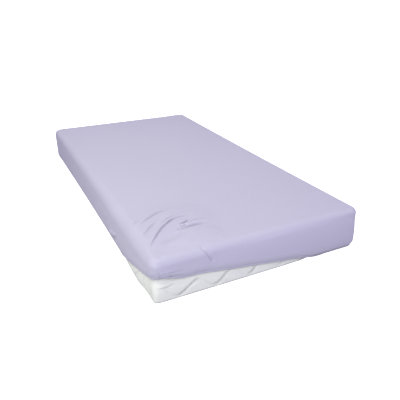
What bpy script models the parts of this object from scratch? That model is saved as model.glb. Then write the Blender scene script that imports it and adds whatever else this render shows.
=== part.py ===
"""A fitted sheet of jersey, stretched over a plain foam mattress.

X runs across the mattress, Y along it and Z up. The origin lies on the surface, under the middle.
The near corner is the one at low X and low Y. There the hem has slipped up and bares the mattress,
and the slack cloth lies in creases on the top.

Places on the cloth are given as if it were pressed flat, in distances from the near corner:
across to the right and along to the back. Below zero they run down the front or the left side.
"""

from collections import namedtuple
from math import cos, pi, sin

import bmesh
import bpy

# Driving sizes, in metres
MATTRESS_WIDTH = 1.0
MATTRESS_LENGTH = 2.0
MATTRESS_HEIGHT = 0.19
CLOTH = 0.0015                 # thickness of the sheet
AIR = 0.0005                   # between sheet and mattress on their flat faces
WAIST = 0.006                  # how far each long side draws in at its middle

HALF_X = MATTRESS_WIDTH / 2 + AIR + CLOTH
HALF_Y = MATTRESS_LENGTH / 2 + AIR + CLOTH
TOP = MATTRESS_HEIGHT + AIR + CLOTH

# The sheet's outer face
RIM = 0.065                    # inset of the flat top from the sides
ROLL = 0.033                   # radius of a taut top edge
SLACK_ROLL = 0.058             # radius of the top edge where the cloth is slack
FRONT_SLACK = (0.15, 0.27)     # distances from the near corner where that slack fades out
LEFT_SLACK = (0.60, 1.30)
CORNER = 0.044                 # radius of the upright corners
UNDER_ROLL = 0.013             # radius of the bottom edge
CORNER_UNDER_ROLL = 0.030      # and round the far corners, where the elastic pulls hardest
TUCK = 0.13                    # how far the hem reaches in under the mattress
HEM_CORNER = 0.20              # radius of the hem's corners there, drawn round by the elastic
PINCH = 0.004                  # how far the elastic draws the hem in round the near corner
PINCH_REACH = 0.03             # and how far that reaches up the cloth

# The mattress
SHOULDER = 0.043               # radius of its top edges
SLACK_SHOULDER = 0.068         # the same below the slack cloth
COVERED_CORNER = 0.052         # radius of its upright corners inside the sheet
SQUEEZED_CORNER = 0.060        # of its near corner, inside the sheet
BARE_CORNER = 0.042            # of its near corner, below the hem
BARE_HEIGHTS = (0.055, 0.088)  # heights between which the near corner changes its radius
COVERED_FOOT = 0.018           # radius of its bottom edge inside the sheet
CORNER_FOOT = 0.038            # and at the corners there
BARE_FOOT = 0.010              # and where it is bare
BARING = 0.015                 # rise of the hem over which the one turns into the other
LIFTING = 0.010                # tuck of the hem over which the mattress is lifted off the surface
HEM_ROOM = 0.0025              # how far it is lifted off the surface above the tucked cloth
ROOM_INSET = 0.015             # how far that goes past the hem

# Hem: how far down the cloth it lies, from the sharp top edge, by distance from the near corner.
# At TOP it is at the foot of the side, and what is more than that is tucked under.
Hem = namedtuple("Hem", "distance drop")
FRONT_HEM = (
    Hem(0.00, 0.083), Hem(0.10, 0.093), Hem(0.18, 0.095), Hem(0.27, 0.107), Hem(0.34, 0.120),
    Hem(0.45, 0.140), Hem(0.57, 0.158), Hem(0.66, 0.171), Hem(0.74, 0.184), Hem(0.95, 0.230),
)
LEFT_HEM = (
    Hem(0.00, 0.083), Hem(0.06, 0.089), Hem(0.10, 0.102), Hem(0.14, 0.118), Hem(0.22, 0.144),
    Hem(0.30, 0.168), Hem(0.37, 0.186), Hem(0.55, 0.235), Hem(1.00, 0.290), Hem(1.90, TOP + TUCK),
)

# Slack: low swells of loose cloth, each an oval of the given reaches about its middle.
Swell = namedtuple("Swell", "across along reach_across reach_along height")
SWELLS = (
    Swell(0.175, 0.235, 0.240, 0.230, 0.0080),   # the creased patch of the top
    Swell(0.225, 0.105, 0.150, 0.090, 0.0030),   # the smooth bulge in front of it
    Swell(0.110, -0.035, 0.150, 0.055, 0.0030),  # the loose front edge
    Swell(-0.140, 0.530, 0.040, 0.120, 0.0060),  # the small fold low on the left side
    Swell(-0.182, 0.600, 0.035, 0.070, 0.0050),  # and its foot
)

# Creases: each a trough along a curve from start to end that heads for bend on its way.
Crease = namedtuple("Crease", "start_x start_y bend_x bend_y end_x end_y depth width")
CREASES = (
    Crease(0.029, 0.298, 0.059, 0.342, 0.077, 0.339, 0.0020, 0.009),
    Crease(0.072, 0.303, 0.195, 0.397, 0.251, 0.393, 0.0040, 0.010),
    Crease(0.047, 0.204, 0.124, 0.292, 0.228, 0.314, 0.0040, 0.010),
    Crease(0.049, 0.119, 0.203, 0.342, 0.317, 0.289, 0.0070, 0.011),    # the deep one
    Crease(0.213, 0.223, 0.259, 0.248, 0.327, 0.238, 0.0040, 0.009),
    Crease(0.166, 0.160, 0.189, 0.207, 0.315, 0.193, 0.0050, 0.018),    # a broad valley
    Crease(0.195, 0.005, 0.215, -0.008, 0.252, -0.075, 0.0050, 0.010),  # over the front edge
    Crease(-0.162, 0.620, -0.140, 0.530, -0.119, 0.440, 0.0050, 0.012),  # below the left fold
)
CREASE_POINTS = 12             # points that a crease's curve is measured from
CREASE_FADE = 0.1              # share of a half wave that is cut off each end of a crease's depth

# Meshing
FINE_ACROSS = 0.38             # how far from the near corner the points lie close together
FINE_ALONG = 0.64
FINE_STEP = 0.009
COARSE_STEP = 0.055
RINGS = 30                     # from the top's rim to the hem
CORNER_STEPS = 8
KEPT_FACES = 0.155             # share of the faces that the sheet keeps
MATTRESS_STEPS = 5             # stations along a side, and steps round a corner and an edge
SAME_POINT = 0.00001           # points closer than this are joined

# Materials
LILAC = (0.60, 0.57, 0.73, 1)
LILAC_ROUGHNESS = 0.85
WHITE = (0.80, 0.81, 0.82, 1)
WHITE_ROUGHNESS = 0.9

Station = namedtuple("Station", "x_side y_side heading")


def mix(first, second, share):
    return first + (second - first) * share


def smooth(share):
    """0 to 1 with an even start and end."""
    share = min(max(share, 0), 1)
    return share * share * (3 - 2 * share)


def read(table, distance):
    """The drop that a hem table gives at a distance, on straight lines between its rows."""
    for near, far in zip(table, table[1:]):
        if distance <= far.distance:
            return mix(near.drop, far.drop, (distance - near.distance) / (far.distance - near.distance))
    return table[-1].drop


def graded(half, fine_length):
    """Places from -1 to 1 on a side of this half length, close together near its first end."""
    fine_count = round(fine_length / FINE_STEP)
    coarse_length = 2 * half - fine_count * FINE_STEP
    coarse_count = round(coarse_length / COARSE_STEP)
    fine = [step * FINE_STEP for step in range(fine_count)]
    coarse = [2 * half - coarse_length * step / coarse_count for step in range(coarse_count, -1, -1)]
    return [place / half - 1 for place in fine + coarse]


def even(count):
    return [2 * step / count - 1 for step in range(count + 1)]


def stations_round(across, along, corner_steps):
    """Stations round the outline, anticlockwise from the front side's near end."""
    turns = [pi / 2 * step / corner_steps for step in range(1, corner_steps)]
    front = [Station(x, -1, -pi / 2) for x in across]
    right = [Station(1, y, 0) for y in along]
    back = [Station(x, 1, pi / 2) for x in reversed(across)]
    left = [Station(-1, y, -pi) for y in reversed(along)]
    front += [Station(1, -1, turn - pi / 2) for turn in turns]
    right += [Station(1, 1, turn) for turn in turns]
    back += [Station(-1, 1, turn + pi / 2) for turn in turns]
    left += [Station(-1, -1, turn - pi) for turn in turns]
    return front + right + back + left


def on_outline(station, half_x, half_y, inset, radius):
    """Plan position of a station on a rounded rectangle, drawn in at the waist."""
    x = station.x_side * (half_x - inset - radius) + radius * cos(station.heading)
    y = station.y_side * (half_y - inset - radius) + radius * sin(station.heading)
    return at_waist(x, y), y


def at_waist(x, y):
    return x * (1 - WAIST / HALF_X * (1 - (y / HALF_Y) ** 2))


def from_near_corner(station):
    """Distances along the front and along the left side, None where the station is on neither."""
    on_front = station.y_side == -1 and station.heading <= -pi / 2
    on_left = station.x_side == -1 and station.heading <= -pi / 2
    front = HALF_X * (1 + station.x_side) if on_front else None
    left = HALF_Y * (1 + station.y_side) if on_left else None
    return front, left


def hem_drop(station):
    """How far down the cloth the hem lies at a station."""
    full = TOP + TUCK
    front, left = from_near_corner(station)
    if front is not None:
        return read(FRONT_HEM, front)
    if left is not None:
        return read(LEFT_HEM, left)
    if station.y_side == -1:
        return mix(FRONT_HEM[-1].drop, full, 1 + station.heading * 2 / pi)
    return full


def slackness(station):
    """1 on the loose edges next to the near corner, 0 where the cloth is taut."""
    front, left = from_near_corner(station)
    if front is not None:
        return 1 - smooth((front - FRONT_SLACK[0]) / (FRONT_SLACK[1] - FRONT_SLACK[0]))
    if left is not None:
        return 1 - smooth((left - LEFT_SLACK[0]) / (LEFT_SLACK[1] - LEFT_SLACK[0]))
    return 0


def roundness(station):
    """1 on the middle of a corner's curve, 0 at its ends and on the straight sides."""
    return abs(sin(2 * station.heading))


def near_corner(station):
    return station.x_side == -1 and station.y_side == -1


def under_roll(station):
    return mix(UNDER_ROLL, CORNER_UNDER_ROLL, roundness(station))


def over_edge(drop, roll, under):
    """Inset, height and lean of the cloth that far down over the edge, 0 where it faces up."""
    if drop < -roll:
        return -drop, TOP, 0
    if drop < roll:
        lean = (drop + roll) / roll * pi / 4
        return roll * (1 - sin(lean)), TOP - roll * (1 - cos(lean)), lean
    if drop < TOP - under:
        return 0, TOP - drop, pi / 2
    if drop < TOP + under:
        turned = (drop - TOP + under) / under * pi / 4
        return under * (1 - cos(turned)), under * (1 - sin(turned)), pi / 2 + turned
    return drop - TOP, 0, pi


def corner_radius(drop, inset):
    """The sheet's plan radius: none at the flat top's rim, widest at the tucked hem."""
    if drop < TOP / 2:
        return CORNER * (1 - inset / RIM)
    return mix(CORNER, HEM_CORNER, max(inset - CORNER_UNDER_ROLL, 0) / (TUCK - CORNER_UNDER_ROLL))


def curve_points(crease):
    """Points along a crease, each with its share of the crease's depth."""
    points = []
    for step in range(CREASE_POINTS + 1):
        t = step / CREASE_POINTS
        parts = ((1 - t) ** 2, 2 * t * (1 - t), t * t)
        x = parts[0] * crease.start_x + parts[1] * crease.bend_x + parts[2] * crease.end_x
        y = parts[0] * crease.start_y + parts[1] * crease.bend_y + parts[2] * crease.end_y
        points.append((x, y, sin(pi * mix(CREASE_FADE, 1 - CREASE_FADE, t))))
    return points


CREASE_CURVES = [(crease, curve_points(crease)) for crease in CREASES]


def crease_depth(crease, curve, x, y):
    """Depth of one crease at a place on the flat cloth: a soft trough that runs out at both ends."""
    deepest = 0
    for (x1, y1, full1), (x2, y2, full2) in zip(curve, curve[1:]):
        run_x, run_y = x2 - x1, y2 - y1
        share = ((x - x1) * run_x + (y - y1) * run_y) / (run_x ** 2 + run_y ** 2)
        share = min(max(share, 0), 1)
        away = ((x - x1 - share * run_x) ** 2 + (y - y1 - share * run_y) ** 2) / crease.width ** 2
        if away < 1:
            deepest = max(deepest, (1 - away) ** 2 * mix(full1, full2, share))
    return crease.depth * deepest


def relief(x, y):
    """How far the slack cloth stands off the mattress at a place on the flat cloth."""
    height = 0
    for swell in SWELLS:
        oval = ((x - swell.across) / swell.reach_across) ** 2 + ((y - swell.along) / swell.reach_along) ** 2
        height += swell.height * max(1 - oval, 0) ** 2
    if height == 0:
        return 0
    for crease, curve in CREASE_CURVES:
        height -= crease_depth(crease, curve, x, y)
    return max(height, 0)


def ring_point(station, share):
    """The sheet's outer face at a station, at this share of the way from the rim to the hem."""
    hem = hem_drop(station)
    drop = mix(-RIM, hem, share)
    roll = mix(ROLL, SLACK_ROLL, slackness(station))
    inset, z, lean = over_edge(drop, roll, under_roll(station))
    x, y = on_outline(station, HALF_X, HALF_Y, inset, corner_radius(drop, inset))
    out_x, out_y = cos(station.heading), sin(station.heading)
    flat_x = x + HALF_X + out_x * (inset + drop)
    flat_y = y + HALF_Y + out_y * (inset + drop)
    stand_off = relief(flat_x, flat_y)
    if near_corner(station):
        stand_off -= PINCH * roundness(station) * smooth(1 - (hem - drop) / PINCH_REACH)
    level = sin(lean) * stand_off
    return x + out_x * level, y + out_y * level, max(z + cos(lean) * stand_off, 0)


def add_bands(bm, rings):
    """Faces between each ring of points and the next."""
    for upper, lower in zip(rings, rings[1:]):
        for place, corner in enumerate(upper):
            following = (place + 1) % len(upper)
            bm.faces.new((corner, lower[place], lower[following], upper[following]))


def finished(name, bm, colour, roughness, collection):
    """An object from this mesh, with its own material."""
    mesh = bpy.data.meshes.new(name)
    bm.to_mesh(mesh)
    bm.free()
    mesh.shade_smooth()
    material = bpy.data.materials.new(name)
    material.use_nodes = True
    shader = material.node_tree.nodes["Principled BSDF"]
    shader.inputs["Base Color"].default_value = colour
    shader.inputs["Roughness"].default_value = roughness
    shader.inputs["Metallic"].default_value = 0
    mesh.materials.append(material)
    piece = bpy.data.objects.new(name, mesh)
    collection.objects.link(piece)
    return piece


def make_sheet(collection):
    """The sheet: its flat top as a grid, and rings from the top's rim over the edge to the hem."""
    across = graded(HALF_X - RIM, FINE_ACROSS - RIM)
    along = graded(HALF_Y - RIM, FINE_ALONG - RIM)
    bm = bmesh.new()
    top = []
    for y_share in along:
        y = y_share * (HALF_Y - RIM)
        row = [x_share * (HALF_X - RIM) for x_share in across]
        places = [(at_waist(x, y), y) for x in row]
        top.append([bm.verts.new((x, y, TOP + relief(x + HALF_X, y + HALF_Y))) for x, y in places])
    for near, far in zip(top, top[1:]):
        for place in range(len(across) - 1):
            bm.faces.new((near[place], near[place + 1], far[place + 1], far[place]))
    stations = stations_round(across, along, CORNER_STEPS)
    shares = [ring / RINGS for ring in range(RINGS + 1)]
    rings = [[bm.verts.new(ring_point(station, share)) for station in stations] for share in shares]
    add_bands(bm, rings)
    bmesh.ops.remove_doubles(bm, verts=bm.verts, dist=SAME_POINT)
    sheet = finished("fitted_sheet", bm, LILAC, LILAC_ROUGHNESS, collection)
    fewer = sheet.modifiers.new("fewer faces", "DECIMATE")
    fewer.ratio = KEPT_FACES
    cloth = sheet.modifiers.new("cloth", "SOLIDIFY")
    cloth.thickness = CLOTH
    cloth.offset = -1
    cloth.use_quality_normals = True


def bare_share(station):
    """1 where the mattress's foot is bare, 0 where the sheet is tucked under it."""
    return smooth((TOP - UNDER_ROLL - hem_drop(station)) / BARING)


def mattress_corner(station, height):
    """Plan radius of the mattress's corners: the near one is sharper below the hem."""
    squeezed = smooth((height - BARE_HEIGHTS[0]) / (BARE_HEIGHTS[1] - BARE_HEIGHTS[0]))
    near = mix(BARE_CORNER, SQUEEZED_CORNER, squeezed)
    return mix(near, COVERED_CORNER, max(1 + station.x_side, 1 + station.y_side) / 2)


def mattress_profile(station):
    """Inset, height and plan radius of the mattress's points at a station, from the bottom up."""
    bare = bare_share(station)
    room = HEM_ROOM * smooth(1 + (hem_drop(station) - TOP) / LIFTING)
    foot = mix(mix(COVERED_FOOT, CORNER_FOOT, roundness(station)), BARE_FOOT, bare)
    shoulder = mix(SHOULDER, SLACK_SHOULDER, slackness(station))
    points = [(TUCK + 2 * ROOM_INSET, 0, HEM_CORNER + ROOM_INSET), (TUCK + ROOM_INSET, room, HEM_CORNER)]
    for step in range(MATTRESS_STEPS + 1):
        turned = pi / 2 * step / MATTRESS_STEPS
        height = room + foot * (1 - cos(turned))
        points.append((foot * (1 - sin(turned)), height, mattress_corner(station, 0)))
    for height in (BARE_HEIGHTS[0], sum(BARE_HEIGHTS) / 2, BARE_HEIGHTS[1]):
        points.append((0, height, mattress_corner(station, height)))
    for step in range(MATTRESS_STEPS + 1):
        turned = pi / 2 * step / MATTRESS_STEPS
        inset = shoulder * (1 - cos(turned))
        height = MATTRESS_HEIGHT - shoulder * (1 - sin(turned))
        radius = mattress_corner(station, MATTRESS_HEIGHT) * (1 - inset / shoulder / 2)
        points.append((inset, height, radius))
    return points


def make_mattress(collection):
    """The mattress: rings from its flat underside up to its flat top, and a face across each."""
    half_x, half_y = MATTRESS_WIDTH / 2, MATTRESS_LENGTH / 2
    across = along = even(MATTRESS_STEPS)
    stations = stations_round(across, along, MATTRESS_STEPS)
    profiles = [mattress_profile(station) for station in stations]
    bm = bmesh.new()
    rings = []
    for level in zip(*profiles):
        ring = []
        for station, (inset, height, radius) in zip(stations, level):
            x, y = on_outline(station, half_x, half_y, inset, radius)
            ring.append(bm.verts.new((x, y, height)))
        rings.append(ring)
    rings.reverse()
    bm.faces.new(rings[0])
    add_bands(bm, rings)
    bm.faces.new(reversed(rings[-1]))
    finished("mattress", bm, WHITE, WHITE_ROUGHNESS, collection)


def main():
    for old in list(bpy.data.objects):
        bpy.data.objects.remove(old)
    collection = bpy.data.collections.new("fitted_sheet_on_mattress")
    bpy.context.scene.collection.children.link(collection)
    make_sheet(collection)
    make_mattress(collection)


main()
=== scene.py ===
"""A fitted sheet of lilac jersey, stretched over a plain quilted foam mattress.

X runs across the mattress, Y along it and Z up, in metres. The near corner is the one at low X and
low Y. There the hem has slipped up and bares the mattress, and the slack cloth lies in creases.
"""

from collections import namedtuple
from math import cos, pi, radians, sin

import bpy
import numpy as np
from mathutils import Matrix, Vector


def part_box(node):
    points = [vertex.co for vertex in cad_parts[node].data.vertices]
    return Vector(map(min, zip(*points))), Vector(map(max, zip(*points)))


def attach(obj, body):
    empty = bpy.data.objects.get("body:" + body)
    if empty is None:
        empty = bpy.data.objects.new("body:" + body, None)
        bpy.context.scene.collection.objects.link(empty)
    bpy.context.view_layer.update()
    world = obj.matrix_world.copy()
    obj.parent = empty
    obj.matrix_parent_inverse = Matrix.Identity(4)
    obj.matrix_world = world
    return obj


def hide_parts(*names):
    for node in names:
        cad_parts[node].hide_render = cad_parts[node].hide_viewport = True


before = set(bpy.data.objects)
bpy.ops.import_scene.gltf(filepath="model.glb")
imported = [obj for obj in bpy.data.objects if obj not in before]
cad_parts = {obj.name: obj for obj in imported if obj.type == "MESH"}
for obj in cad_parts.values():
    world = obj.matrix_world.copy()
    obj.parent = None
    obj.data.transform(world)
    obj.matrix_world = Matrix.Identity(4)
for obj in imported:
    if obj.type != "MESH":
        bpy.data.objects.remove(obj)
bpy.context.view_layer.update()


# ---- Mattress ------------------------------------------------------------------------------------
# A block of foam in a cover of white knit, quilted in waves along its sides. It lies on the floor by
# its own weight. The sheet's elastic squeezes it, and leaves it bare at the near corner alone.

box_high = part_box("mattress")[1]
HALF_LENGTH = box_high.y
HALF_WIDTH = HALF_LENGTH / 2
HEIGHT = box_high.z
WAIST = 0.006                    # how far each long side draws in at its middle
CLOTH_OUT = 0.002                # from the mattress's faces to the sheet's outer face
HALF_X = HALF_WIDTH + CLOTH_OUT
HALF_Y = HALF_LENGTH + CLOTH_OUT
TOP = HEIGHT + CLOTH_OUT
TUCK = 0.13                      # how far the sheet's hem reaches in under the mattress

SHOULDER = 0.043                 # radius of the mattress's top edges
LEFT_SHOULDER = 0.058            # along the left side
RIGHT_SHOULDER = 0.034           # and along the right side
LEFT_BLEND = 0.10                # share of the half width over which the left side's radius comes in
RIGHT_BLEND = 0.30               # and the right side's
NEAR_BLEND = 0.12                # share of the half length over which the left one's starts
COVERED_CORNER = 0.052           # radius of the upright corners inside the sheet
SQUEEZED_CORNER = 0.046          # of the near corner, inside the sheet
BARE_CORNER = 0.024              # of the near corner, below the hem
BARE_HEIGHTS = (0.020, 0.092)    # heights between which the near corner changes its radius
COVERED_FOOT = 0.018             # radius of the bottom edge inside the sheet
CORNER_FOOT = 0.038              # and at the corners there
BARE_FOOT = 0.010                # and where it is bare
BARING = 0.012                   # rise of the hem over which the one turns into the other
HEM_ROOM = 0.0045                # how far the mattress stands off the floor above the tucked cloth
HEM_CORNER = 0.20                # radius of the tucked hem's corners
ROOM_INSET = 0.015               # how far that room goes past the hem
UNDER_COVER = 0.0008             # how far the cover lies below its nominal face under the sheet

# How far down the sheet the hem lies, from the sharp top edge, by distance from the near corner.
# At TOP it is at the foot of the side, and what is more than that is tucked under.
Hem = namedtuple("Hem", "distance drop")
FRONT_HEM = (
    Hem(0.00, 0.087), Hem(0.05, 0.096), Hem(0.10, 0.108), Hem(0.18, 0.109), Hem(0.26, 0.119),
    Hem(0.35, 0.131), Hem(0.45, 0.143), Hem(0.57, 0.159), Hem(0.66, 0.170), Hem(0.74, 0.184),
    Hem(0.95, 0.230),
)
LEFT_HEM = (
    Hem(0.00, 0.092), Hem(0.06, 0.109), Hem(0.12, 0.123), Hem(0.20, 0.141), Hem(0.29, 0.165),
    Hem(0.37, 0.186), Hem(0.55, 0.235), Hem(1.00, 0.290), Hem(1.90, TOP + TUCK),
)
HEM_SOFTENING = 0.02             # reach over which the rows' straight lines are rounded off
HEM_SAMPLES = 9                  # places in that reach that are averaged

# Spacing of the points along a side, by distance from the near corner.
Zone = namedtuple("Zone", "reach step")
COVER_FRONT = (Zone(0.78, 0.004), Zone(1.0, 0.02))
COVER_LEFT = (Zone(0.36, 0.004), Zone(2.0, 0.04))
COVER_FAR = (Zone(2.0, 0.04),)
CORNER_STEPS = 20
FOOT_ROWS = 6
WALL_ROWS = 36
SHOULDER_ROWS = 7

# Quilting: wavy rows of stitching round the sides, and how the wadding puffs up beside them.
WAVE_LENGTH = 0.158
WAVE_HEIGHT = 0.022              # from a wave's middle to its crest
WAVE_START = 0.136               # distance from the near corner at which a wave rises through its middle
FIRST_ROW = 0.038                # height of the lowest row's middle
ROW_PITCH = 0.078
PUFF = 0.0080                    # how deep the stitching draws the cover in
PUFF_REACH = 0.026               # and how far from the stitching that is felt
PUFF_CURVE = 5                   # how steeply it comes back up: 1 is a straight slope
FALLING_SHARE = 0.35             # share of that depth where a wave falls
LEFT_SHARE = 0.5                 # and on the left side
PLAIN_REACH = 0.05               # distance round from the near corner in which there is none of it

# Foam that swells out below the hem, as ovals on the side: distance from the corner and height.
Swell = namedtuple("Swell", "x y reach_x reach_y height")
COVER_SWELLS = (
    Swell(-0.210, 0.040, 0.210, 0.070, 0.0050),
    Swell(-0.060, 0.000, 0.100, 0.110, -0.0060),   # less of it next to the bottom corner
    Swell(0.060, 0.050, 0.080, 0.040, 0.0015),
)
# Wrinkles of the cover that the slipping hem has pushed together, in the same terms. Each is a
# trough along a curve from start to end that heads for bend on its way, with a lip on its left.
Crease = namedtuple("Crease", "start bend end depth width lip")
COVER_CREASES = (
    Crease((0.010, 0.066), (0.034, 0.064), (0.066, 0.074), 0.0040, 0.0035, 0.0020),
    Crease((0.004, 0.086), (0.040, 0.082), (0.085, 0.089), 0.0026, 0.0030, 0.0016),
    Crease((-0.075, 0.078), (-0.040, 0.072), (-0.010, 0.079), 0.0020, 0.0035, 0.0012),
    Crease((-0.110, 0.040), (-0.095, 0.058), (-0.085, 0.075), 0.0020, 0.0035, 0.0012),
)
PINCH = 0.006                    # how far the elastic draws in the hem along the front
CORNER_PINCH = 0.003             # and how much further round the near corner
PINCH_REACH = 0.035              # how far that reaches up the cloth
CORNER_REACH = 0.10              # and round the corner
LEFT_PINCH = 0.40                # distance round the left side within which it fades out
SQUEEZE = 0.0015                 # how much deeper the elastic presses into the foam
SQUEEZE_REACH = 0.025            # and how far above and below the hem that is felt
CREASE_POINTS = 18               # points that a crease's curve is measured from
CREASE_FADE = 0.06               # share of a half wave that is cut off each end of a crease's depth
LIP_AWAY = 1.7                   # distance of a lip's crest from its trough, in widths of the trough
LIP_REACH = 12                   # and where it has run out, in the same


def mix(first, second, share):
    """The value that share of the way from the first to the second."""
    return first + (second - first) * share


def smooth(share):
    """0 to 1 with an even start and end."""
    share = np.clip(share, 0, 1)
    return share * share * (3 - 2 * share)


def read(table, distance):
    """The drop that a hem table gives at these distances, rounded off between its rows."""
    rows = np.array(table)
    offsets = np.linspace(-HEM_SOFTENING, HEM_SOFTENING, HEM_SAMPLES)
    return np.mean([np.interp(distance + offset, rows[:, 0], rows[:, 1]) for offset in offsets], axis=0)


def spaced(zones, start, end):
    """Distances from start to end, spaced as the zones say."""
    places = [start]
    for zone in zones:
        reach = min(zone.reach, end)
        count = max(round((reach - places[-1]) / zone.step), 1)
        places += list(np.linspace(places[-1], reach, count + 1)[1:])
    return np.array(places)


# Places round an outline: shares of the half width and half length, from -1 to 1, and a heading.
Stations = namedtuple("Stations", "x_side y_side heading")


def stations_round(front, right, back, left, corner_steps):
    """Stations round a rounded rectangle, anticlockwise from the front side's near end."""
    turns = np.arange(1, corner_steps) * pi / 2 / corner_steps
    corner = np.ones(len(turns))
    runs = (
        (front, -np.ones(len(front)), np.full(len(front), -pi / 2)), (corner, -corner, turns - pi / 2),
        (np.ones(len(right)), right, np.zeros(len(right))), (corner, corner, turns),
        (back[::-1], np.ones(len(back)), np.full(len(back), pi / 2)), (-corner, corner, turns + pi / 2),
        (-np.ones(len(left)), left[::-1], np.full(len(left), -pi)), (-corner, -corner, turns - pi),
    )
    return Stations(*np.concatenate([np.array(run) for run in runs], axis=1))


def at_waist(x, y):
    """X of a place once the long sides are drawn in."""
    return x * (1 - WAIST / HALF_X * (1 - (y / HALF_Y) ** 2))


def on_outline(stations, half_x, half_y, inset, radius):
    """Plan positions of stations on a rounded rectangle, drawn in at the waist."""
    x = stations.x_side * (half_x - inset - radius) + radius * np.cos(stations.heading)
    y = stations.y_side * (half_y - inset - radius) + radius * np.sin(stations.heading)
    return at_waist(x, y), y


def hem_drop(stations):
    """How far down the sheet the hem lies, with soft turns round the near corner and the right one."""
    full = TOP + TUCK
    across, along = HALF_X * (1 + stations.x_side), HALF_Y * (1 + stations.y_side)
    near = stations.heading <= -pi / 2
    front = near & (stations.y_side == -1)
    left = near & (stations.x_side == -1)
    drop = np.full(len(across), full)
    drop[left] = read(LEFT_HEM, along[left])
    drop[front] = read(FRONT_HEM, across[front])
    corner = front & left
    round_corner = smooth(2 + stations.heading[corner] * 2 / pi)
    drop[corner] = mix(LEFT_HEM[0].drop, FRONT_HEM[0].drop, round_corner)
    turning = (stations.y_side == -1) & (stations.x_side == 1) & (stations.heading > -pi / 2)
    drop[turning] = mix(FRONT_HEM[-1].drop, full, 1 + stations.heading[turning] * 2 / pi)
    return drop


def edge_radius(stations, left, plain, right):
    """Radius of the top edge: plain, but for the sides'. The left one fades out over its far half."""
    radius = mix(plain, right, smooth(1 - (1 - stations.x_side) / RIGHT_BLEND))
    on_left = smooth(1 - (1 + stations.x_side) / LEFT_BLEND)
    along_left = smooth((1 + stations.y_side) / NEAR_BLEND) * smooth(1 - stations.y_side)
    return mix(radius, left, on_left * along_left)


def roundness(stations):
    """1 on the middle of a corner's curve, 0 at its ends and on the straight sides."""
    return np.abs(np.sin(2 * stations.heading))


def swell_height(swells, x, y):
    """Height that swells give at flat places."""
    height = np.zeros(x.shape)
    for swell in swells:
        oval = ((x - swell.x) / swell.reach_x) ** 2 + ((y - swell.y) / swell.reach_y) ** 2
        height += swell.height * smooth(1 - oval)
    return height


def crease_height(creases, x, y):
    """Height that creases give at flat places: a trough, and a lip on its left, or right if below 0."""
    height = np.zeros(x.shape)
    for crease in creases:
        t = np.linspace(0, 1, CREASE_POINTS)[:, None]
        start, bend, end = (np.array(point) for point in (crease.start, crease.bend, crease.end))
        line = (1 - t) ** 2 * start + 2 * t * (1 - t) * bend + t * t * end
        reach = crease.width * LIP_REACH
        low, high = line.min(0) - reach, line.max(0) + reach
        close = (x > low[0]) & (x < high[0]) & (y > low[1]) & (y < high[1])
        away = np.full(int(close.sum()), np.inf)
        side = np.zeros(len(away))
        share = np.zeros(len(away))
        for step in range(CREASE_POINTS - 1):
            run = line[step + 1] - line[step]
            off_x, off_y = x[close] - line[step][0], y[close] - line[step][1]
            part = np.clip((off_x * run[0] + off_y * run[1]) / (run @ run), 0, 1)
            off_x, off_y = off_x - part * run[0], off_y - part * run[1]
            distance = np.hypot(off_x, off_y)
            nearer = distance < away
            away[nearer] = distance[nearer]
            side[nearer] = np.sign(run[0] * off_y - run[1] * off_x)[nearer]
            share[nearer] = ((step + part) / (CREASE_POINTS - 1))[nearer]
        fade = np.sqrt(np.sin(pi * mix(CREASE_FADE, 1 - CREASE_FADE, share)))
        trough = crease.depth * np.exp(-((away / crease.width) ** 2))
        from_foot = np.maximum(away * side * np.sign(crease.lip), 0) / LIP_AWAY / crease.width
        lip = abs(crease.lip) * from_foot * np.exp(1 - from_foot)
        height[close] += fade * (lip - trough)
    return height


def pinch(around, above):
    """How far the elastic draws the cloth in, by distance round the side and height above the hem."""
    depth = PINCH + CORNER_PINCH * np.exp(-((around / CORNER_REACH) ** 2))
    return depth * smooth(1 + around / LEFT_PINCH) * smooth(1 - above / PINCH_REACH)


def quilting(around, height):
    """How far the stitching draws the cover in, by distance round the side and height."""
    phase = 2 * pi * (around - WAVE_START) / WAVE_LENGTH
    rows = (height - FIRST_ROW - WAVE_HEIGHT * np.sin(phase)) / ROW_PITCH
    slope = WAVE_HEIGHT * 2 * pi / WAVE_LENGTH * np.cos(phase)
    away = np.abs(rows - np.round(rows)) * ROW_PITCH / np.hypot(1, slope)
    rising = smooth(0.5 + np.cos(phase))
    depth = PUFF * mix(FALLING_SHARE, 1, rising) * np.where(around < 0, LEFT_SHARE, 1)
    pull = np.clip(1 - away / PUFF_REACH, 0, 1) ** PUFF_CURVE
    return -depth * smooth(np.abs(around) / PLAIN_REACH) * pull


def mattress_corner(stations, height):
    """Plan radius of the mattress's corners: the near one is sharper below the hem."""
    squeezed = smooth((height - BARE_HEIGHTS[0]) / (BARE_HEIGHTS[1] - BARE_HEIGHTS[0]))
    near = mix(BARE_CORNER, SQUEEZED_CORNER, squeezed)
    return mix(near, COVERED_CORNER, np.maximum(1 + stations.x_side, 1 + stations.y_side) / 2)


def distance_round(x, y, corner_steps):
    """Distance of each point round a ring from the middle of the near corner, negative on the left."""
    steps = np.hypot(np.diff(x, prepend=x[-1]), np.diff(y, prepend=y[-1]))
    around = np.cumsum(steps)
    distance = around - around[-corner_steps // 2]
    return np.where(distance < -around[-1] / 2, distance + around[-1], distance)


def smooth_piece(name, points, faces, maps):
    """An object with smooth faces. Each of its named maps has flat coordinates for every point."""
    mesh = bpy.data.meshes.new(name)
    mesh.from_pydata(points.tolist(), [], faces)
    corners = np.empty(len(mesh.loops), np.int32)
    mesh.loops.foreach_get("vertex_index", corners)
    for map_name, flat in maps.items():
        layer = mesh.uv_layers.new(name=map_name)
        layer.uv.foreach_set("vector", flat[corners].astype(np.float32).ravel())
    mesh.shade_smooth()
    piece = bpy.data.objects.new(name, mesh)
    bpy.context.scene.collection.objects.link(piece)
    return piece


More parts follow.
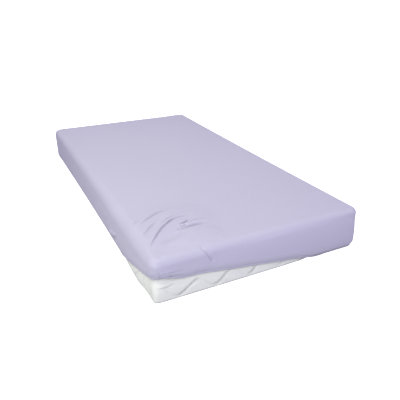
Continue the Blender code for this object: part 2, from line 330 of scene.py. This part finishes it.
def bands(rings):
    """Faces between each closed ring of point numbers and the next, in threes where points coincide."""
    faces = []
    for upper, lower in zip(rings, rings[1:]):
        for here, there, under, beyond in zip(upper, np.roll(upper, -1), lower, np.roll(lower, -1)):
            corners = [here, under, beyond, there]
            faces.append([int(c) for c in (corners if here != there else corners[:3])])
    return faces


front = spaced(COVER_FRONT, 0, 2 * HALF_WIDTH) / HALF_WIDTH - 1
right = spaced(COVER_FAR, 0, 2 * HALF_LENGTH) / HALF_LENGTH - 1
back = spaced(COVER_FAR, 0, 2 * HALF_WIDTH) / HALF_WIDTH - 1
left = spaced(COVER_LEFT, 0, 2 * HALF_LENGTH) / HALF_LENGTH - 1
stations = stations_round(front, right, back, left, CORNER_STEPS)
hem = hem_drop(stations)
bare = smooth((TOP - hem) / BARING)
room = HEM_ROOM * smooth(1 - (TOP - hem) / BARING)
foot = mix(mix(COVERED_FOOT, CORNER_FOOT, roundness(stations)), BARE_FOOT, bare)
shoulder = edge_radius(stations, LEFT_SHOULDER, SHOULDER, RIGHT_SHOULDER)
facing_x, facing_y = np.cos(stations.heading), np.sin(stations.heading)
around = distance_round(*on_outline(stations, HALF_WIDTH, HALF_LENGTH, 0, BARE_CORNER), CORNER_STEPS)

# Each row of the cover, from the underside up: inset, height, lean (0 faces up) and plan radius.
rows = [
    (TUCK + 2 * ROOM_INSET, 0 * room, pi, HEM_CORNER + ROOM_INSET),
    (TUCK + ROOM_INSET, room, pi, HEM_CORNER),
]
for step in range(FOOT_ROWS + 1):
    turned = pi / 2 * step / FOOT_ROWS
    radius = mattress_corner(stations, 0)
    rows.append((foot * (1 - sin(turned)), room + foot * (1 - cos(turned)), pi - turned, radius))
for step in range(1, WALL_ROWS):
    height = mix(room + foot, HEIGHT - shoulder, step / WALL_ROWS)
    rows.append((0 * height, height, pi / 2, mattress_corner(stations, height)))
for step in range(SHOULDER_ROWS + 1):
    turned = pi / 2 * step / SHOULDER_ROWS
    inset = shoulder * (1 - cos(turned))
    radius = mattress_corner(stations, HEIGHT) * (1 - inset / shoulder / 2)
    rows.append((inset, HEIGHT - shoulder * (1 - sin(turned)), pi / 2 - turned, radius))

points = []
flat = []
path = np.zeros(len(hem))
for inset, height, lean, radius in rows:
    x, y = on_outline(stations, HALF_WIDTH, HALF_LENGTH, inset, radius)
    below_hem = (TOP - hem) - height
    shown = bare * smooth(0.5 + below_hem / SQUEEZE_REACH) * sin(lean)
    give = np.exp(-((below_hem / SQUEEZE_REACH) ** 2))
    dent = SQUEEZE * give + pinch(around, np.maximum(-below_hem, 0)) * np.where(below_hem > 0, give, 1)
    relief = quilting(around, height) + swell_height(COVER_SWELLS, around, height)
    relief += crease_height(COVER_CREASES, around, height)
    relief = relief * shown - UNDER_COVER * (1 - shown) * sin(lean)
    relief -= dent * bare * sin(lean)
    place = np.stack([x + facing_x * relief, y + facing_y * relief, 0 * x + height], axis=1)
    if points:
        path = path + np.linalg.norm(place - points[-1], axis=1)
    points.append(place)
    flat.append(np.stack([around, path], axis=1))

count = len(hem)
rings = [np.arange(count) + count * row for row in range(len(rows))]
faces = bands(rings[::-1])
faces.append([int(c) for c in rings[-1]])
faces.append([int(c) for c in rings[0][::-1]])
maps = {"cover": np.concatenate(flat)}
mattress = smooth_piece("quilted_mattress", np.concatenate(points), faces, maps)


def add_node(tree, kind, inputs=None, **settings):
    """A node with these settings. Each of its inputs is set to a value or linked to a socket."""
    node = tree.nodes.new(kind)
    for name, value in settings.items():
        setattr(node, name, value)
    for name, value in (inputs or {}).items():
        if isinstance(value, bpy.types.NodeSocket):
            tree.links.new(value, node.inputs[name])
        else:
            node.inputs[name].default_value = value
    return node


def math(tree, operation, first, second=0.0):
    """The result of a Math node."""
    return add_node(tree, "ShaderNodeMath", {0: first, 1: second}, operation=operation).outputs[0]


def new_group(name, takes, gives):
    """A shader node group with float or vector inputs and float outputs, and its two end nodes."""
    tree = bpy.data.node_groups.new(name, "ShaderNodeTree")
    for socket_name, default in takes.items():
        kind = "NodeSocketVector" if default is None else "NodeSocketFloat"
        socket = tree.interface.new_socket(socket_name, in_out="INPUT", socket_type=kind)
        if default is not None:
            socket.default_value = default
    for socket_name in gives:
        tree.interface.new_socket(socket_name, in_out="OUTPUT", socket_type="NodeSocketFloat")
    return tree, tree.nodes.new("NodeGroupInput").outputs, tree.nodes.new("NodeGroupOutput")


# Knit: columns of V stitches, on a flat map in metres.
STITCH_ROUNDING = 1.6            # how fast a stitch falls off beside its column's middle
knit_takes = {"Place": None, "Wale": 0.0012, "Course": 0.0009}
knit, given, result = new_group("knit_stitches", knit_takes, ["Height"])
place = add_node(knit, "ShaderNodeSeparateXYZ", {0: given["Place"]}).outputs
column = math(knit, "FRACT", math(knit, "DIVIDE", place["X"], given["Wale"]))
from_middle = math(knit, "ABSOLUTE", math(knit, "SUBTRACT", column, 0.5))
slanted = math(knit, "ADD", math(knit, "DIVIDE", place["Y"], given["Course"]), from_middle)
leg = math(knit, "ABSOLUTE", math(knit, "SUBTRACT", math(knit, "FRACT", slanted), 0.5))
rounded = math(knit, "SUBTRACT", 1.0, math(knit, "MULTIPLY", from_middle, STITCH_ROUNDING))
stitch_height = math(knit, "MULTIPLY", math(knit, "MULTIPLY", leg, 2.0), rounded)
knit.links.new(stitch_height, result.inputs["Height"])

# Mottling: a factor about 1 that wanders over the surface, as dye and wear do.
mottling_takes = {"Place": None, "Size": 0.1, "Amount": 0.02}
mottling, given, result = new_group("mottling", mottling_takes, ["Factor"])
noise = add_node(mottling, "ShaderNodeTexNoise", {"Vector": given["Place"], "Detail": 3.0})
mottling.links.new(math(mottling, "DIVIDE", 1.0, given["Size"]), noise.inputs["Scale"])
wander = math(mottling, "MULTIPLY", math(mottling, "SUBTRACT", noise.outputs[0], 0.5), given["Amount"])
factor = math(mottling, "ADD", math(mottling, "MULTIPLY", wander, 2.0), 1.0)
mottling.links.new(factor, result.inputs["Factor"])


def new_material(name, colour, roughness):
    """A material, its tree and its Principled BSDF."""
    material = bpy.data.materials.new(name)
    material.use_nodes = True
    shader = material.node_tree.nodes["Principled BSDF"]
    shader.inputs["Base Color"].default_value = (*colour, 1)
    shader.inputs["Roughness"].default_value = roughness
    shader.inputs["Specular IOR Level"].default_value = 0.2
    return material, material.node_tree, shader


def use_group(tree, group, inputs):
    """A group placed in a material."""
    return add_node(tree, "ShaderNodeGroup", inputs, node_tree=group).outputs


def scaled(tree, colour, factor):
    """A colour times a factor."""
    node = add_node(tree, "ShaderNodeVectorMath", {0: colour, "Scale": factor}, operation="SCALE")
    return node.outputs[0]


COVER_WHITE = (0.79, 0.815, 0.745)
DOT_PITCH = 0.0062               # of the raised dots that are knitted into the cover
DOT_SHADE = 0.03                 # how much lighter a dot's middle is
DOT_RISE = 0.5                   # share of the bump's height that a dot has
STITCH_RISE = 0.4                # and a stitch of the knit
COVER_PAINTED_SHADE = 1.5                       # strength of the painted shade in its stitching and along its bottom edge
COVER_SHADE_REACH = 0.012
OPEN_SAMPLES = 8                 # rays that tell how open the space above a place is
cover, tree, shader = new_material("white_quilted_knit", COVER_WHITE, 0.9)
flat_map = add_node(tree, "ShaderNodeUVMap", uv_map="cover").outputs[0]
solid_place = add_node(tree, "ShaderNodeTexCoord").outputs["Object"]
turned_map = add_node(
    tree, "ShaderNodeVectorRotate", {"Vector": flat_map, "Angle": radians(45)}, rotation_type="Z_AXIS"
).outputs[0]
turned_place = add_node(tree, "ShaderNodeSeparateXYZ", {0: turned_map}).outputs
across_dots = [math(tree, "MULTIPLY", turned_place[axis], 2 * pi / DOT_PITCH) for axis in "XY"]
waves = [math(tree, "SINE", angle) for angle in across_dots]
dots = math(tree, "MULTIPLY", waves[0], waves[1])
stitches = use_group(tree, knit, {"Place": flat_map, "Wale": 0.0016, "Course": 0.0012})
soft = use_group(tree, mottling, {"Place": solid_place, "Size": 0.09, "Amount": 0.025})
dot_shade = math(tree, "ADD", 1.0, math(tree, "MULTIPLY", dots, DOT_SHADE))
whole = math(tree, "MULTIPLY", dot_shade, soft["Factor"])
# Painted shade: the cover's colour is darkened where little open space lies above it, along its stitching
# and along its bottom edge by the floor.
open_space = add_node(tree, "ShaderNodeAmbientOcclusion", {"Distance": COVER_SHADE_REACH}, samples=OPEN_SAMPLES)
whole = math(tree, "MULTIPLY", whole, math(tree, "POWER", open_space.outputs["AO"], COVER_PAINTED_SHADE))
tree.links.new(scaled(tree, COVER_WHITE, whole), shader.inputs["Base Color"])
raised_stitches = math(tree, "MULTIPLY", stitches["Height"], STITCH_RISE)
raised = math(tree, "ADD", math(tree, "MULTIPLY", dots, DOT_RISE), raised_stitches)
bump = add_node(tree, "ShaderNodeBump", {"Height": raised, "Strength": 0.5, "Distance": 0.0006})
tree.links.new(bump.outputs[0], shader.inputs["Normal"])
mattress.data.materials.append(cover)

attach(mattress, "root")
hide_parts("mattress")


# ---- Fitted sheet --------------------------------------------------------------------------------
# One cut of lilac single jersey with an elastic sewn into a narrow turned hem all round. The elastic
# pulls it tight over the mattress and in under it, except where it has slipped up at the near corner.

RIM = 0.065                      # inset of the flat top from the sides
ROLL = 0.033                     # radius of the top edges
LEFT_ROLL = 0.048                # along the left side, where the cloth is slack
RIGHT_ROLL = 0.023               # and along the right side, where it is tight
CORNER = 0.038                   # radius of the upright corners
UNDER_ROLL = 0.013               # radius of the bottom edge
CORNER_UNDER_ROLL = 0.030        # and round the far corners, where the elastic pulls hardest
CLOTH = 0.001                    # thickness of the jersey
DEEPEST = 0.0004                 # how far a crease may sink below the taut cloth's face

SHEET_ACROSS = (Zone(0.353, 0.012), Zone(0.80, 0.014), Zone(1.0, 0.030))
SHEET_ALONG = (Zone(0.449, 0.012), Zone(0.67, 0.014), Zone(2.0, 0.038))
FINER = 4                        # the first of those zones is this many times finer round the creases
SHEET_CORNER_STEPS = 24
SHEET_ROWS = 46                  # from the rim of the flat top to the hem's band

# Slack: low swells of loose cloth, on the flat cloth in distances from the near corner, across and
# along. Below zero those run down the left side and down the front.
SHEET_SWELLS = (
    Swell(0.175, 0.235, 0.250, 0.240, 0.0100),   # the creased patch of the top
    Swell(0.235, 0.105, 0.140, 0.085, 0.0060),   # the smooth bulge in front of it
    Swell(0.120, -0.035, 0.170, 0.080, 0.0045),  # the loose front edge
    Swell(0.620, -0.105, 0.640, 0.095, 0.0080),  # the front side, which bellies out
    Swell(-0.080, 0.350, 0.110, 0.450, 0.0050),  # and the near part of the left one
    Swell(-0.135, 0.530, 0.045, 0.120, 0.0035),  # the small fold low on the left side
)
SHEET_CREASES = (
    Crease((0.025, 0.304), (0.054, 0.326), (0.071, 0.333), 0.0032, 0.0045, 0.0018),
    Crease((0.071, 0.297), (0.157, 0.370), (0.223, 0.384), 0.0045, 0.0042, 0.0030),
    Crease((0.046, 0.198), (0.112, 0.275), (0.125, 0.268), 0.0035, 0.0038, 0.0026),
    Crease((0.141, 0.254), (0.215, 0.318), (0.226, 0.306), 0.0030, 0.0042, 0.0018),
    Crease((0.049, 0.115), (0.139, 0.246), (0.204, 0.272), 0.0050, 0.0034, 0.0035),   # the deep one
    Crease((0.169, 0.252), (0.210, 0.289), (0.290, 0.284), 0.0045, 0.0038, 0.0025),   # and its thin end
    Crease((0.252, 0.230), (0.282, 0.231), (0.331, 0.231), 0.0040, 0.0045, 0.0028),
    Crease((0.214, 0.218), (0.228, 0.216), (0.251, 0.230), 0.0085, 0.0034, 0.0030),   # its looped end
    Crease((0.207, 0.196), (0.218, 0.195), (0.232, 0.198), 0.0085, 0.0034, 0.0015),
    Crease((0.193, 0.179), (0.260, 0.187), (0.315, 0.191), 0.0085, 0.0080, 0.0040),   # a broad valley
    Crease((0.183, 0.153), (0.145, 0.131), (0.103, 0.114), 0.0100, 0.0200, 0.0),      # and its soft foot
    Crease((0.257, 0.323), (0.267, 0.319), (0.276, 0.313), 0.0035, 0.0040, 0.0020),
    Crease((0.055, 0.062), (0.048, 0.047), (0.042, 0.032), 0.0045, 0.0036, 0.0030),
    # a dent over the front edge
    Crease((0.215, 0.016), (0.236, -0.022), (0.250, -0.057), 0.0085, 0.0060, -0.0020),
    # down to the hem, along the hem, and above that one
    Crease((0.012, -0.040), (0.018, -0.058), (0.022, -0.074), 0.0022, 0.0080, -0.0020),
    Crease((0.005, -0.082), (0.040, -0.080), (0.105, -0.079), 0.0040, 0.0040, 0.0030),
    Crease((0.030, -0.066), (0.070, -0.062), (0.120, -0.064), 0.0020, 0.0045, 0.0015),
    # the left fold's ridge, and the trough below it
    Crease((-0.144, 0.593), (-0.113, 0.508), (-0.109, 0.473), -0.0110, 0.0085, 0.0),
    Crease((-0.162, 0.598), (-0.155, 0.559), (-0.126, 0.471), 0.0075, 0.0060, 0.0),
)

# Hem: a band of turned cloth with the elastic in it. Its cross-section, from the groove where it is
# sewn down to the edge, which curls in: height above the edge, and how far it stands out.
Fold = namedtuple("Fold", "above out")
BAND = (
    Fold(0.0165, 0.0000), Fold(0.0150, -0.0016), Fold(0.0135, -0.0009), Fold(0.0110, 0.0006),
    Fold(0.0080, 0.0012), Fold(0.0050, 0.0006), Fold(0.0028, -0.0010), Fold(0.0010, -0.0028),
    Fold(0.0000, -0.0042),
)
GATHER = 0.0007                  # height of the ripples that the elastic draws into the cloth
GATHER_PITCH = 0.036
GATHER_REACH = 0.03              # how far up the cloth they reach
GATHER_LEAN = 0.5                # and where: on cloth at least this upright, as the sine of its lean
PLEAT = 0.0024                   # height of the pleats round the tucked corners
PLEATS = 7                       # in each of those


def over_edge(drop, roll, under):
    """Inset, height and lean of the cloth that far down over the edge, 0 where it faces up."""
    turned = np.clip((drop + roll) / roll, 0, 2) * pi / 4
    tucked = np.clip((drop - TOP + under) / under, 0, 2) * pi / 4
    inset = np.maximum(-roll - drop, 0) + roll * (1 - np.sin(turned))
    inset += under * (1 - np.cos(tucked)) + np.maximum(drop - TOP - under, 0)
    fallen = roll * (1 - np.cos(turned)) + np.clip(drop - roll, 0, TOP - roll - under)
    return inset, TOP - fallen - under * np.sin(tucked), turned + tucked


def sheet_corner(drop, inset):
    """The sheet's plan radius: none at the flat top's rim, widest at the tucked hem."""
    low = mix(CORNER, HEM_CORNER, np.maximum(inset - CORNER_UNDER_ROLL, 0) / (TUCK - CORNER_UNDER_ROLL))
    return np.where(drop < TOP / 2, CORNER * (1 - inset / RIM), low)


def slack_height(x, y):
    """How far the slack cloth stands off the mattress at places on the flat cloth."""
    swollen = swell_height(SHEET_SWELLS, x, y)
    height = swollen + crease_height(SHEET_CREASES, x, y) * smooth(swollen / DEEPEST)
    return (height + np.hypot(height, DEEPEST) - DEEPEST) / 2


def finer(places, reach):
    """Places with FINER steps for each one up to this reach, and which of them were there before."""
    near = int(np.searchsorted(places, reach, side="right"))
    pairs = zip(places, places[1:near])
    steps = [np.linspace(start, end, FINER, endpoint=False) for start, end in pairs]
    return np.concatenate([*steps, places[near - 1:]]), near - 1


across = spaced(SHEET_ACROSS, RIM, 2 * HALF_X - RIM)
along = spaced(SHEET_ALONG, RIM, 2 * HALF_Y - RIM)
fine_across, near_columns = finer(across, SHEET_ACROSS[0].reach)
fine_along, near_rows = finer(along, SHEET_ALONG[0].reach)
side_x, fine_x = ((places - HALF_X) / (HALF_X - RIM) for places in (across, fine_across))
side_y, fine_y = ((places - HALF_Y) / (HALF_Y - RIM) for places in (along, fine_along))
stations = stations_round(fine_x, side_y, side_x, fine_y, SHEET_CORNER_STEPS)
hem = hem_drop(stations)
bare = smooth((TOP - hem) / BARING)
roll = edge_radius(stations, LEFT_ROLL, ROLL, RIGHT_ROLL)
under = mix(UNDER_ROLL, CORNER_UNDER_ROLL, roundness(stations))
facing_x, facing_y = np.cos(stations.heading), np.sin(stations.heading)
near_corner = (stations.x_side == -1) & (stations.y_side == -1)

# The flat top, as a grid with fine lines round the creases. Elsewhere the points between its coarse
# lines are left out, and a coarse face next to the fine ones takes their points into its edge.
grid_x, grid_y = np.meshgrid(fine_x * (HALF_X - RIM), fine_y * (HALF_Y - RIM))
row, column = np.indices(grid_x.shape)
fine_rows, fine_columns = near_rows * FINER, near_columns * FINER
on_row = (row % FINER == 0) | (row > fine_rows)
on_column = (column % FINER == 0) | (column > fine_columns)
kept = (on_row & on_column) | ((row <= fine_rows) & (column <= fine_columns))
numbers = np.full(grid_x.shape, -1)
numbers[kept] = np.arange(kept.sum())
patch = numbers[:fine_rows + 1, :fine_columns + 1]
faces = np.stack([patch[:-1, :-1], patch[:-1, 1:], patch[1:, 1:], patch[1:, :-1]], axis=-1)
faces = faces.reshape(-1, 4).tolist()
coarse_rows = [*range(0, fine_rows, FINER), *range(fine_rows, grid_x.shape[0])]
coarse_columns = [*range(0, fine_columns, FINER), *range(fine_columns, grid_x.shape[1])]
for bottom, upper in zip(coarse_rows, coarse_rows[1:]):
    for start, end in zip(coarse_columns, coarse_columns[1:]):
        if bottom < fine_rows and start < fine_columns:
            continue
        edge = [*numbers[bottom, start:end], *numbers[bottom:upper, end]]
        edge += [*numbers[upper, end:start:-1], *numbers[upper:bottom:-1, start]]
        faces.append([int(number) for number in edge if number >= 0])
grid_x, grid_y = at_waist(grid_x, grid_y)[kept], grid_y[kept]
flat = [np.stack([grid_x + HALF_X, grid_y + HALF_Y], axis=1)]
points = [np.stack([grid_x, grid_y, TOP + slack_height(*flat[0].T)], axis=1)]

# Rings from the top's rim over the edge to the hem.
turn = np.ones(SHEET_CORNER_STEPS - 1, int)
rim = np.concatenate([
    numbers[0], turn * numbers[0, -1], numbers[coarse_rows, -1], turn * numbers[-1, -1],
    numbers[-1, coarse_columns[::-1]], turn * numbers[-1, 0], numbers[::-1, 0], turn * numbers[0, 0],
])
around = distance_round(*on_outline(stations, HALF_X, HALF_Y, 0, CORNER), SHEET_CORNER_STEPS)
folds = [Fold(mix(hem + RIM, BAND[0].above, row / SHEET_ROWS), 0) for row in range(1, SHEET_ROWS)]
hem_map = [np.full((len(flat[0]), 2), TOP)]   # the flat top lies far above the hem's stitching
rings = [rim]
for above, out in [*folds, *BAND]:
    drop = hem - above
    inset, z, lean = over_edge(drop, roll, under)
    x, y = on_outline(stations, HALF_X, HALF_Y, inset, sheet_corner(drop, inset))
    flat_x, flat_y = x + HALF_X + facing_x * (inset + drop), y + HALF_Y + facing_y * (inset + drop)
    near_hem = np.exp(-above / GATHER_REACH)
    stand_off = slack_height(flat_x, flat_y) + out
    stand_off -= pinch(around, above) * bare
    ripples = GATHER * near_hem * np.sin(2 * pi * around / GATHER_PITCH)
    stand_off += ripples * (np.sin(lean) > GATHER_LEAN)
    pleats = np.sin(2 * PLEATS * stations.heading) ** 2 * roundness(stations) * (1 - near_corner)
    stand_off -= PLEAT * pleats * smooth((inset - CORNER_UNDER_ROLL) / (TUCK - CORNER_UNDER_ROLL))
    level = np.sin(lean) * stand_off
    height = np.maximum(z + np.cos(lean) * stand_off, 0)
    rings.append(np.arange(len(hem)) + sum(len(group) for group in points))
    points.append(np.stack([x + facing_x * level, y + facing_y * level, height], axis=1))
    flat.append(np.stack([flat_x, flat_y], axis=1))
    hem_map.append(np.stack([around, 0 * around + above], axis=1))
faces += bands(rings)
maps = {"cloth": np.concatenate(flat), "hem": np.concatenate(hem_map)}
sheet = smooth_piece("fitted_sheet_jersey", np.concatenate(points), faces, maps)
thickness = sheet.modifiers.new("thickness", "SOLIDIFY")
thickness.thickness = CLOTH
thickness.offset = -1

LILAC = (0.513, 0.497, 0.607)
JERSEY_PAINTED_SHADE = 0.7                     # strength of the painted shade in the bottoms of the creases and other hollows
JERSEY_SHADE_REACH = 0.03
jersey, tree, shader = new_material("lilac_jersey", LILAC, 0.92)
shader.inputs["Sheen Weight"].default_value = 0.22
shader.inputs["Sheen Roughness"].default_value = 0.5
shader.inputs["Sheen Tint"].default_value = (0.95, 0.93, 1.0, 1)
flat_map = add_node(tree, "ShaderNodeUVMap", uv_map="cloth").outputs[0]
edge_map = add_node(tree, "ShaderNodeUVMap", uv_map="hem").outputs[0]
edge_place = add_node(tree, "ShaderNodeSeparateXYZ", {0: edge_map}).outputs
solid_place = add_node(tree, "ShaderNodeTexCoord").outputs["Object"]
stitches = use_group(tree, knit, {"Place": flat_map, "Wale": 0.0011, "Course": 0.0008})
wide_soft = use_group(tree, mottling, {"Place": solid_place, "Size": 0.30, "Amount": 0.015})
fine_soft = use_group(tree, mottling, {"Place": solid_place, "Size": 0.012, "Amount": 0.015})

# Two rows of stitching that hold the hem's band: dashes along it.
SEAMS = (0.0118, 0.0148)         # heights above the edge
STITCH = 0.0032                  # from one stitch to the next
THREAD = 0.0005                  # half the width of its thread, which fades out as far again
STITCH_GAP = -0.4                # level of the dashes' wave under which there is a gap
SEAM_SHADE = 0.12                # how much darker the thread is
SEAM_RISE = 2.0                  # height of the thread, in stitches of the knit
seam_marks = []
for seam in SEAMS:
    away = math(tree, "ABSOLUTE", math(tree, "SUBTRACT", edge_place["Y"], seam))
    ramp = {0: away, "From Min": THREAD, "From Max": 2 * THREAD, "To Min": 1, "To Max": 0}
    line = add_node(tree, "ShaderNodeMapRange", ramp).outputs[0]
    dash = math(tree, "SINE", math(tree, "MULTIPLY", edge_place["X"], 2 * pi / STITCH))
    seam_marks.append(math(tree, "MULTIPLY", line, math(tree, "GREATER_THAN", dash, STITCH_GAP)))
seams = math(tree, "MAXIMUM", *seam_marks)
seam_shade = math(tree, "SUBTRACT", 1.0, math(tree, "MULTIPLY", seams, SEAM_SHADE))
soft = math(tree, "MULTIPLY", wide_soft["Factor"], fine_soft["Factor"])
whole = math(tree, "MULTIPLY", soft, seam_shade)
# Painted shade: the jersey's colour is darkened where little open space lies above it, most in the bottoms
# of the creases.
open_space = add_node(tree, "ShaderNodeAmbientOcclusion", {"Distance": JERSEY_SHADE_REACH}, samples=OPEN_SAMPLES)
whole = math(tree, "MULTIPLY", whole, math(tree, "POWER", open_space.outputs["AO"], JERSEY_PAINTED_SHADE))
tree.links.new(scaled(tree, LILAC, whole), shader.inputs["Base Color"])
raised = math(tree, "ADD", stitches["Height"], math(tree, "MULTIPLY", seams, SEAM_RISE))
bump = add_node(tree, "ShaderNodeBump", {"Height": raised, "Strength": 0.4, "Distance": 0.0003})
tree.links.new(bump.outputs[0], shader.inputs["Normal"])
sheet.data.materials.append(jersey)

# The cut lies flat as a rectangle less a square at each corner, and is stretched to fit.
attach(sheet, "root")
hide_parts("fitted_sheet")


# ---- Studio --------------------------------------------------------------------------------------
# A wide white floor, white surroundings, and soft light from above, most of it from the near side.

FLOOR_DROP = 0.0006              # how far the floor lies below the part, so that the two never coincide
bpy.ops.mesh.primitive_plane_add(size=60, location=(0, 0, -FLOOR_DROP))
floor = bpy.context.object
floor.name = "floor"
# The camera sees it white, and to all other light it is a plain grey.
white_floor, tree, shader = new_material("white_floor", (0.5, 0.5, 0.5), 1.0)
seen_white = add_node(tree, "ShaderNodeBsdfDiffuse", {"Color": (0.9, 0.9, 0.9, 1)}).outputs[0]
glow = add_node(tree, "ShaderNodeEmission", {"Strength": 1.1}).outputs[0]
lit = add_node(tree, "ShaderNodeAddShader", {0: seen_white, 1: glow}).outputs[0]
seen = add_node(tree, "ShaderNodeLightPath").outputs["Is Camera Ray"]
floor_shader = add_node(tree, "ShaderNodeMixShader", {0: seen, 1: shader.outputs[0], 2: lit}).outputs[0]
tree.links.new(floor_shader, tree.nodes["Material Output"].inputs["Surface"])
floor.data.materials.append(white_floor)

# The camera sees white all round, and the part is lit from there by a faint violet.
world = bpy.data.worlds.new("studio")
world.use_nodes = True
tree = world.node_tree
ambient = tree.nodes["Background"]
ambient.inputs["Color"].default_value = (0.66, 0.58, 1.0, 1)
ambient.inputs["Strength"].default_value = 0.545
backdrop = add_node(tree, "ShaderNodeBackground", {"Color": (1, 1, 1, 1), "Strength": 1.2}).outputs[0]
seen = add_node(tree, "ShaderNodeLightPath").outputs["Is Camera Ray"]
either = {0: seen, 1: ambient.outputs[0], 2: backdrop}
surroundings = add_node(tree, "ShaderNodeMixShader", either).outputs[0]
tree.links.new(surroundings, tree.nodes["World Output"].inputs["Surface"])
bpy.context.scene.world = world

WARM = (0.95, 1.0, 0.68)         # colour of the lamps above
PLAIN = (0.97, 0.99, 0.98)       # and of those in front
Softbox = namedtuple("Softbox", "name place target size power colour")
SOFTBOXES = (
    Softbox("high_left", (-1.7, -0.8, 2.2), (0, -0.3, 0.1), 1.6, 24.4, WARM),
    Softbox("high_middle", (0.3, -0.3, 2.6), (0.2, -0.2, 0.1), 2.4, 12.4, WARM),
    Softbox("high_back", (0.0, 1.3, 2.2), (0, 0.6, 0.1), 1.8, 12.8, WARM),
    Softbox("front_left", (-3.0, -3.3, 2.2), (-0.2, -0.5, 0.1), 1.8, 73.4, PLAIN),
    Softbox("front", (0.5, -3.8, 1.8), (0.1, -0.8, 0.1), 1.6, 31.0, PLAIN),
)
for softbox in SOFTBOXES:
    lamp = bpy.data.objects.new(softbox.name, bpy.data.lights.new(softbox.name, "AREA"))
    lamp.data.shape = "DISK"
    lamp.data.size = softbox.size
    lamp.data.energy = softbox.power
    lamp.data.color = softbox.colour
    lamp.location = softbox.place
    lamp.rotation_mode = "QUATERNION"
    lamp.rotation_quaternion = (Vector(softbox.target) - lamp.location).to_track_quat("-Z", "Y")
    bpy.context.scene.collection.objects.link(lamp)

# The camera looks down over the near corner. Its shift is the picture's framing.
AZIMUTH = radians(-27.3)
ELEVATION = radians(23.89)
DISTANCE = 2.679
TARGET = Vector((0.1819, -0.1836, 0))
toward_camera = Vector((sin(AZIMUTH) * cos(ELEVATION), -cos(AZIMUTH) * cos(ELEVATION), sin(ELEVATION)))
camera = bpy.data.objects.new("camera", bpy.data.cameras.new("camera"))
camera.data.lens = 41.17
camera.data.sensor_width = 36
camera.data.shift_x = -0.0364
camera.data.shift_y = -0.0120
camera.location = TARGET + toward_camera * DISTANCE
camera.rotation_mode = "QUATERNION"
camera.rotation_quaternion = (-toward_camera).to_track_quat("-Z", "Y")
bpy.context.scene.collection.objects.link(camera)
bpy.context.scene.camera = camera
bpy.context.scene.view_settings.view_transform = "Standard"
